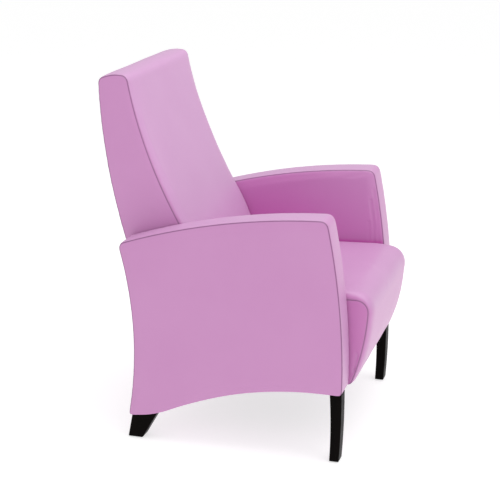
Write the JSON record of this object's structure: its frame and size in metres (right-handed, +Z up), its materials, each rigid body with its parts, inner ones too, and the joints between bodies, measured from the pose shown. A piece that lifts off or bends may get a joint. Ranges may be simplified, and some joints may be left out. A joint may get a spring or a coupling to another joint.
{
  "type": "care chair",
  "caption": "High-back upholstered care armchair with slim sloping arms, rounded front seat edge and black wooden legs on levelling glides; seats one person",
  "frame": {"origin": "centre of the footprint at floor level", "axes": "+X to the sitter's left, +Y to the rear, +Z up"},
  "size_m": [0.7, 0.7858, 1.0524],
  "materials": {
    "vinyl": "smooth pink-lilac faux leather, satin",
    "black_lacquer": "black satin lacquer over beech",
    "glide_nylon": "black moulded nylon",
    "foam": "cream polyurethane foam",
    "felt": "grey needle felt",
    "webbing": "black elastic webbing",
    "dust_cloth": "black non-woven cloth",
    "spring_steel": "oiled spring wire",
    "zinc_steel": "bright zinc plate",
    "plywood": "raw birch plywood",
    "beech": "raw planed beech"
  },
  "bodies": {
    "chair": {"arm_bolts": "zinc_steel", "back_bolts": "zinc_steel", "back_bottom_rail": "beech", "back_cover": "vinyl", "back_foam": "foam", "back_left_stile": "beech", "back_lumbar_rail": "beech", "back_rear_board": "plywood", "back_rear_pad": "foam", "back_right_stile": "beech", "back_top_rail": "beech", "back_webbing": "webbing", "front_left_leg": "black_lacquer", "front_right_leg": "black_lacquer", "left_arm_bottom_rail": "beech", "left_arm_cover": "vinyl", "left_arm_edge_foam": "foam", "left_arm_front_post": "beech", "left_arm_inner_foam": "foam", "left_arm_inner_panel": "plywood", "left_arm_outer_foam": "foam", "left_arm_outer_panel": "plywood", "left_arm_rear_post": "beech", "left_arm_top_rail": "beech", "leg_studs": "zinc_steel", "rear_left_leg": "black_lacquer", "rear_right_leg": "black_lacquer", "right_arm_bottom_rail": "beech", "right_arm_cover": "vinyl", "right_arm_edge_foam": "foam", "right_arm_front_post": "beech", "right_arm_inner_foam": "foam", "right_arm_inner_panel": "plywood", "right_arm_outer_foam": "foam", "right_arm_outer_panel": "plywood", "right_arm_rear_post": "beech", "right_arm_top_rail": "beech", "seat_base_foam": "foam", "seat_comfort_foam": "foam", "seat_corner_blocks": "beech", "seat_cover": "vinyl", "seat_dust_cover": "dust_cloth", "seat_felt": "felt", "seat_front_foam": "foam", "seat_front_rail": "beech", "seat_left_rail": "beech", "seat_rear_rail": "beech", "seat_right_rail": "beech", "seat_springs": "spring_steel", "spring_clips": "spring_steel", "threaded_inserts": "zinc_steel"},
    "front_left_foot": {"front_left_glide": "glide_nylon"},
    "front_right_foot": {"front_right_glide": "glide_nylon"},
    "rear_left_foot": {"rear_left_glide": "glide_nylon"},
    "rear_right_foot": {"rear_right_glide": "glide_nylon"}
  },
  "joints": [
    {"name": "front_left_level", "type": "slide", "parent": "chair", "child": "front_left_foot", "axis": [0, 0, -1], "range_m": [0, 0.008]},
    {"name": "front_right_level", "type": "slide", "parent": "chair", "child": "front_right_foot", "axis": [0, 0, -1], "range_m": [0, 0.008]},
    {"name": "rear_left_level", "type": "slide", "parent": "chair", "child": "rear_left_foot", "axis": [0, 0, -1], "range_m": [0, 0.008]},
    {"name": "rear_right_level", "type": "slide", "parent": "chair", "child": "rear_right_foot", "axis": [0, 0, -1], "range_m": [0, 0.008]}
  ]
}
